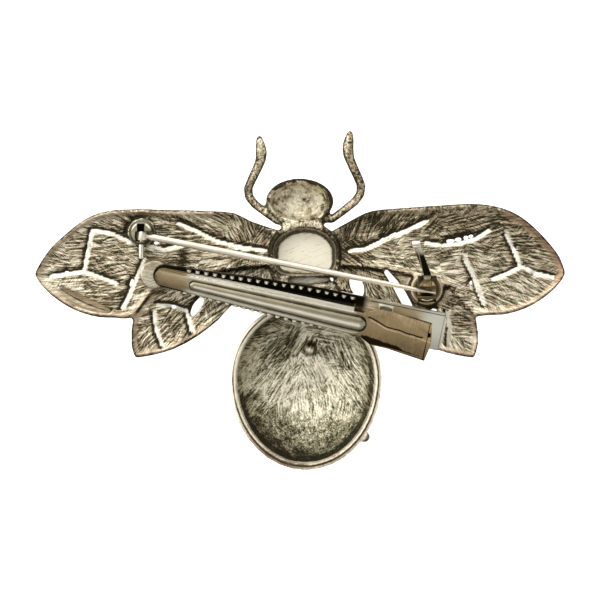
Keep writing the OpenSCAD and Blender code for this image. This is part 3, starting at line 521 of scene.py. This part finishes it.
# Painted highlight: the cuts are painted near white
cut.within(0.3, 0.8).mixed(base, colour(255, 251, 238)).feed(shader, "Base Color")
(0.44 - bright * 0.16).feed(shader, "Roughness")
satin = belly_rim * 0.5 + carried["solder"] * 0.3 + cut * 0.6 + plate * 0.3 + skull * 0.05
(0.5 + carried["openness"] * 0.5 - satin).feed(shader, "Metallic")
relief = (marks - 0.5 - scratch * 0.1) * (1 - smooth * 0.9)
relief = relief + (dents - 0.5) * skull * 2.2 + (patches - 0.5) * hollow * 2.0
spot.node("ShaderNodeBump", None, {"Strength": 1.0, "Distance": 0.0002, "Height": relief}).feed(shader, "Normal")
bee.data.materials.append(cast_silver)
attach(bee, "brooch")
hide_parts("bee_casting")


# The hinge: a turned ball on a round pad, soldered to the left wing and slotted for the pin's knuckle, with a
# rivet of bright wire that was left long on one side.
def dressed(node, name, body, edge, material, steps=2):
    """A CAD node's copy with its sharp edges rounded, its finish, and its place among the bodies."""
    piece = merged_copy(node, name)
    bpy.ops.object.mode_set(mode="EDIT")
    bpy.ops.mesh.select_all(action="SELECT")
    bpy.ops.mesh.dissolve_limited(angle_limit=math.radians(0.6))
    bpy.ops.object.mode_set(mode="OBJECT")
    applied(piece, "BEVEL", width=edge, segments=steps, limit_method="ANGLE", angle_limit=math.radians(32))
    bpy.ops.object.shade_smooth_by_angle(angle=math.radians(38))
    piece.data.materials.append(material)
    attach(piece, body)
    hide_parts(node)


def turned_finish(name, light, dull, rough, scratch=0.5, stained=1.4):
    """A turned or drawn metal with faint scratches and stains: its material, shader, colour and places."""
    made, shader, spot = metal_finish(name)
    px, py, pz = spot.parts()
    scratches = spot.noise(spot.vector(px * 0.7, py * 6.0, pz * 6.0), 1.2, 3, 0.7)
    stains = spot.noise(spot, 0.7, 3, 0.65)
    dark = ((stains - 0.45) * stained + (scratches - 0.5) * scratch).held()
    face = dark.mixed(light, dull)
    face.feed(shader, "Base Color")
    (rough + dark * 0.2).feed(shader, "Roughness")
    spot.node("ShaderNodeBump", None, {"Distance": 0.00003, "Height": scratches}).feed(shader, "Normal")
    return made, shader, face, px, py, pz


hinge_middle, ball_edge, ball_shine = (-23.7, 10.075), 1.72, 1.4
hinge_metal, shader, face, px, py, _ = turned_finish(
    "hinge_metal", colour(134, 132, 108), colour(62, 60, 44), 0.25, 0.7,
)
# Painted on the ball: a ring of painted shade round its edge, the two dark lines of its seam, a painted highlight in
# an arc, and the knuckle's chamber painted black as shade
rx, ry = px - hinge_middle[0], py - hinge_middle[1]
radius = (rx * rx + ry * ry) ** 0.5
ring = radius.near(ball_edge, 0.36) * 0.9
seam = abs(rx).within(0.5, 0.4) * ry.within(0.1, 0.0) * abs(rx + 0.05).near(0.32, 0.13)
arc_highlight = radius.near(ball_shine, 0.18) * ry.within(0.2, 0.9) * abs(rx).within(0.5, 0.8)
chamber_shade = rx.within(-0.66, -0.58) * rx.within(0.56, 0.48) * ry.within(-0.02, 0.04) * ry.within(1.36, 1.28)
face = ring.most(seam * 0.9).mixed(face, colour(52, 46, 30))
face = arc_highlight.mixed(face, colour(226, 220, 198))
chamber_shade.mixed(face, colour(16, 13, 8)).feed(shader, "Base Color")
rivet_metal, *_ = turned_finish("rivet_metal", colour(226, 222, 204), colour(150, 142, 118), 0.18)
dressed("hinge_bracket", "hinge_ball", "brooch", 0.00012, hinge_metal)
dressed("hinge_rivet", "hinge_wire", "brooch", 0.00012, rivet_metal)


# The pin: bright drawn steel wire, flattened at one end to the knuckle that turns on the rivet, and ground to a
# point that rests in the open catch.
pin_metal, *_ = turned_finish("pin_metal", colour(244, 234, 216), colour(206, 188, 164), 0.34, 0.8)
dressed("pin_stem", "pin_wire", "pin", 0.00006, pin_metal)


# The safety catch: an open ring on a round pad, soldered to the right wing, with a turning sleeve inside and a lever
# whose end is curled. The plating has worn to brown.
catch_middle, pad_edge, ring_out, sleeve_out = (19.0, 1.675), 2.25, 1.75, 0.9
catch_metal, shader, face, px, py, pz = turned_finish(
    "catch_metal", colour(138, 120, 88), colour(52, 42, 26), 0.24, 0.7, 2.0,
)
# Painted light and shade: the pad lies in the ring's painted shade but for a painted highlight on its edge, and the
# ring is painted dark as shade but for painted highlights on its crowns
rx, ry = px - catch_middle[0], py - catch_middle[1]
radius = (rx * rx + ry * ry) ** 0.5
raised = pz.within(8.2, 8.5)
on_pad = 1 - raised
face = (radius.within(2.1, 1.7) * on_pad * 0.8).mixed(face, colour(36, 29, 18))
face = (radius.near(pad_edge, 0.2) * on_pad).mixed(face, colour(206, 190, 160))
face = (radius.within(1.15, 1.45) * raised * 0.92).mixed(face, colour(30, 24, 14))
crown_highlight = radius.near(sleeve_out, 0.14) * ry.within(0.3, -0.2) * raised
crown_highlight = crown_highlight.most((rx + 0.3).near(0.0, 0.3) * ry.near(0.6, 0.35) * raised)
crown_highlight = crown_highlight.most(radius.near(ring_out, 0.14) * ry.within(0.2, -0.4) * raised)
crown_highlight.mixed(face, colour(226, 212, 184)).feed(shader, "Base Color")
dressed("catch_housing", "catch_ring", "brooch", 0.0001, catch_metal)

# The lever is painted as polished wire: black in its lower half as a painted dark reflection, with a painted
# highlight along it and another at its end
lever_metal, shader, face, px, py, _ = turned_finish(
    "lever_metal", colour(206, 194, 164), colour(84, 70, 46), 0.18, 0.7, 2.0,
)
face = (1 - py.within(2.9, 3.3)).mixed(face, colour(112, 96, 68))
dark_reflection = py.within(3.2, 3.8) * (1 - py.within(6.4, 7.6))
streak_highlight = (px - 18.15 + (py - 4.6) * 0.22).near(0.0, 0.16) * 0.9
face = (dark_reflection - streak_highlight * dark_reflection).held().mixed(face, colour(26, 21, 13))
py.within(6.6, 7.6).mixed(face, colour(238, 232, 212)).feed(shader, "Base Color")
dressed("catch_roller", "catch_lever", "catch", 0.00008, lever_metal)


# The hair clip: two pressed jaws of plated spring steel on an axle with a coil spring. The lower jaw has a row of
# teeth along each edge and is soldered to the bee, and the upper lever has an embossed rib and brushed sides.
clip_joint = next(j for j in frame["record"]["behaviour"]["joints"] if j["name"] == "clip_open")
clip_axle = Vector(clip_joint["pos_m"]) * 1000
clip_wide = Vector(clip_joint["axis"])
clip_long = clip_wide.cross((0, 0, 1)).normalized()
clip_high = clip_long.cross(clip_wide)


def clip_finish(name, lay, streaks):
    """Brushed sheet: its material, shader and grain, and its places in all and along, across and above the clip."""
    made, shader, spot = metal_finish(name)
    from_axle = spot.node("ShaderNodeVectorMath", {"operation": "SUBTRACT"}, {0: spot, 1: clip_axle})
    along, across, above = [
        from_axle.node("ShaderNodeVectorMath", {"operation": "DOT_PRODUCT"}, {0: from_axle, 1: axis}, out="Value")
        for axis in (clip_long, clip_wide, clip_high)
    ]
    brushed = spot.noise(spot.vector(along * lay, across * streaks, above * 2.0), 1.0, 3, 0.7) - 0.5
    return made, shader, brushed, spot, along, across, above


# The lever's sizes in millimetres from the axle: the rib widens towards the tail, and the lever narrows and falls
# towards its tip
tail_at, tip_at, tip_round = -2.25, -29.2, -33.5
rib_front, rib_back, rib_half, rib_widens = -28.7, -3.6, 1.21, 0.0179
lever_half, lever_narrows = 1.85, 0.0158
lever_top, lever_falls, falls_from = 1.65, 0.0944, -5.6
tail_half, tail_end = 2.95, 6.75

lever_sheet, shader, brushed, spot, along, across, above = clip_finish("lever_sheet", 0.22, 9.0)
crossed = spot.noise(spot.vector(along * 6.0, across * 0.5, above * 0.5), 1.0, 3, 0.7) - 0.5
stains = spot.noise(spot, 0.5, 3, 0.6) - 0.5
beside = (abs(across) - 1.2).most(0.0)
tail = (along + beside * 2.0 + (across * across) * 0.35).within(tail_at - 0.25, tail_at)
tip = 1 - along.within(tip_at - 1.6, tip_at)
brush = brushed * (1 - tail) + crossed * tail

# Between tip and tail the rib swells between two grooves, and the long edges are rolled down. The bands along the
# rib and the strips beside it are painted reflections, and the lower edge has a painted dark line of shade
rib_size = along * rib_widens + rib_half
past = (along - rib_back).most(0.0) + (along - rib_front).least(0.0)
rib = (past * past + across * across) ** 0.5 / rib_size * across.math("SIGN")
edge = along.least(0.0) * lever_narrows + lever_half - abs(across)
inner = along.within(rib_front - 0.7, rib_front + 0.3) * along.within(rib_back + 0.9, rib_back)
reflection_bands = rib.near(-0.12, 0.42) * 0.42 * inner - rib.near(0.45, 0.2) * 0.12 * inner
reflection_bands = reflection_bands - rib.near(1.08, 0.36) * 0.44 - rib.near(-0.84, 0.24) * 0.5
reflection_bands = reflection_bands - abs(rib).near(1.0, 0.16) * abs(past).within(0.1, 0.4) * 0.5
upper_flat_reflection = (across - rib_size * 1.3).within(0.0, 0.25) * 0.34 + (across + rib_size * 1.2).within(0.12, -0.1) * 0.24
middle = 0.56 + reflection_bands + upper_flat_reflection - edge.within(0.24, 0.06) * across.within(0.0, -0.2) * 0.5
depth = (along - falls_from).least(0.0) * lever_falls + lever_top - above
# The side flange is painted with a pale sheen where it turns down and black further down as painted shadow
flange = depth.within(0.2, 0.4) * across.within(0.4, 0.9) * (1 - tail)
middle = middle * (1 - flange) + (0.84 - depth.within(2.0, 2.2) * 0.9) * flange
# The tip is painted lighter towards one side and dark at its edges and its end, as painted light and shade
tip_tone = 0.54 + across * 0.2 - edge.within(0.3, 0.1) * 0.45 - ((along - tip_round).least(0.0) ** 2.0) * 0.25
tone_and_painted_light = middle * (1 - tip) + tip_tone * tip + brush * 0.45 + stains * 0.25

# The tail is bare brown metal. Across it runs a painted dark reflection with a painted highlight beside it, and
# along its lower edge lies painted shade, both with a slight bump; its edges and end are darker lines
wave = spot.noise(spot.vector(along * 0.6, 0.0, 0.0), 1.0, 1, 0.5) - 0.5
from_reflection_line = across - (1.35 - along.within(-2.4, 1.3) * 0.95 + wave * 0.35)
reflection_line = abs(from_reflection_line).within(0.17, 0.05) * along.within(-2.6, -2.2) * (1 - along.within(5.9, 6.3))
reflection_line_highlight = abs(from_reflection_line + 0.32).within(0.16, 0.04) * along.within(-2.2, -1.8)
flange_shade_at = along * -0.12 - 1.75 + wave * 0.9
flange_shade = (flange_shade_at - across).within(0.0, 0.2) * (across + 2.72 - along * 0.02).within(0.0, 0.12)
flange_shade = flange_shade * along.within(-3.0, -2.4) * (1 - along.within(4.0, 6.6) * 0.75)
tail_edge = (tail_half - abs(across)).within(0.2, 0.06) * 0.5 + along.near(tail_end, 0.12) * 0.7
tail_tone = 0.52 + across * 0.06 + crossed * 0.5 + stains * 0.5
tail_tone = tail_tone - reflection_line * 0.9 + reflection_line_highlight * 0.3 - flange_shade * 1.2 - tail_edge
tone_and_painted_light = (tone_and_painted_light * (1 - tail) + tail_tone * tail).held()
brown = tail.most(tip * 0.85).held()
dark = brown.mixed(colour(40, 36, 24), colour(38, 28, 14))
mid = brown.mixed(colour(164, 154, 128), colour(154, 132, 96))
light = brown.mixed(colour(242, 235, 217), colour(206, 184, 150))
base = tone_and_painted_light.within(0.0, 0.5).mixed(dark, mid)
tone_and_painted_light.within(0.5, 1.0).mixed(base, light).feed(shader, "Base Color")
(0.24 + brush * 0.15).feed(shader, "Roughness")
(1 - flange * 0.7).feed(shader, "Metallic")
form = (1 - rib * rib).most(0.0) ** 0.5 * 0.35 + brush * 0.02 - reflection_line * 0.1 - flange_shade * 0.15
spot.node("ShaderNodeBump", None, {"Strength": 0.6, "Distance": 0.001, "Height": form}).feed(shader, "Normal")
dressed("clip_top_jaw", "clip_lever", "clip_lever", 0.00014, lever_sheet, 3)

# Between the teeth and the lever the jaw lies in deep shade, which is painted black, and dark lines run along its
# edge and its end
jaw_sheet, shader, brushed, spot, along, across, above = clip_finish("jaw_sheet", 0.25, 7.0)
jaw_edge, jaw_end = 2.62, 8.9
jaw_shade = (1 - along.within(-3.6, -2.4)) * (1 - above.within(-1.9, -1.62))
line = abs(across - jaw_edge).within(0.1, 0.03) * along.within(-2.6, -2.2) * (1 - above.within(-2.3, -2.1))
line = line.most(abs(along - jaw_end).within(0.1, 0.03) * 0.6)
pale = (brushed + 0.5).mixed(colour(222, 219, 200), colour(250, 246, 228))
jaw_shade.most(line * 0.85).held().mixed(pale, colour(30, 26, 17)).feed(shader, "Base Color")
(0.3 + brushed * 0.1).feed(shader, "Roughness")
spot.node("ShaderNodeBump", None, {"Distance": 0.00002, "Height": brushed}).feed(shader, "Normal")
dressed("clip_base_jaw", "clip_jaw", "brooch", 0.00005, jaw_sheet)

clip_dark, *_ = turned_finish("clip_dark", colour(90, 86, 76), colour(30, 28, 24), 0.3)
dressed("clip_axle", "clip_pivot", "brooch", 0.0001, clip_dark)
dressed("clip_spring", "clip_coil", "brooch", 0.00005, clip_dark)


# The room: a pale table with a soft glow, a large soft light at the head and strips at the sides, and the camera
# straight above.
bpy.ops.mesh.primitive_plane_add(size=3.0, location=(0, 0, -0.0002))
table = bpy.context.object
table.name = "pale_table"
table_paint = bpy.data.materials.new("table_paint")
table_paint.use_nodes = True
paint = table_paint.node_tree.nodes["Principled BSDF"]
paint.inputs["Base Color"].default_value = (0.9, 0.9, 0.9, 1)
paint.inputs["Roughness"].default_value = 0.9
paint.inputs["Specular IOR Level"].default_value = 0.0
paint.inputs["Emission Color"].default_value = (1, 1, 1, 1)
paint.inputs["Emission Strength"].default_value = 0.9
table.data.materials.append(table_paint)


def softbox(name, place, width, height, power):
    """A rectangular soft light that faces the brooch."""
    lamp = bpy.data.lights.new(name, "AREA")
    lamp.shape = "RECTANGLE"
    lamp.size = width
    lamp.size_y = height
    lamp.energy = power
    box = bpy.data.objects.new(name, lamp)
    box.location = place
    box.rotation_euler = (-Vector(place)).to_track_quat("-Z", "Y").to_euler()
    bpy.context.scene.collection.objects.link(box)


softbox("head_light", (-0.2, 0.4, 0.5), width=0.4, height=0.25, power=1.0)
softbox("left_strip", (-0.55, 0.0, 0.4), width=0.12, height=0.6, power=0.5)
softbox("right_strip", (0.5, -0.25, 0.45), width=0.12, height=0.5, power=0.4)

world = bpy.data.worlds.new("studio")
world.use_nodes = True
bpy.context.scene.world = world
dx, dy, dz = Signal(world.node_tree).node("ShaderNodeTexCoord", out="Generated").parts()
head_wall = (dy * 0.85 - dx * 0.5).within(-0.45, 0.35)
foot_panel = abs(dy + 0.6).within(0.32, 0.12) * abs(dx).within(0.55, 0.3)
right_panel = abs(dx - 0.8).within(0.2, 0.08)
skyline = 1 - dz.within(0.02, 0.3)
glow = head_wall * 1.2 + foot_panel * 0.6 + right_panel * 0.4 + skyline * 0.2 + 0.15
background = world.node_tree.nodes["Background"]
background.inputs["Color"].default_value = (1, 1, 1, 1)
glow.feed(background, "Strength")

camera_height = 0.508
camera = bpy.data.cameras.new("camera")
camera.lens = 200
camera.sensor_width = 36
camera.clip_end = 10
view = bpy.data.objects.new("camera", camera)
view.location = (0, 0, camera_height)
bpy.context.scene.collection.objects.link(view)
bpy.context.scene.camera = view
bpy.context.scene.view_settings.view_transform = "Standard"
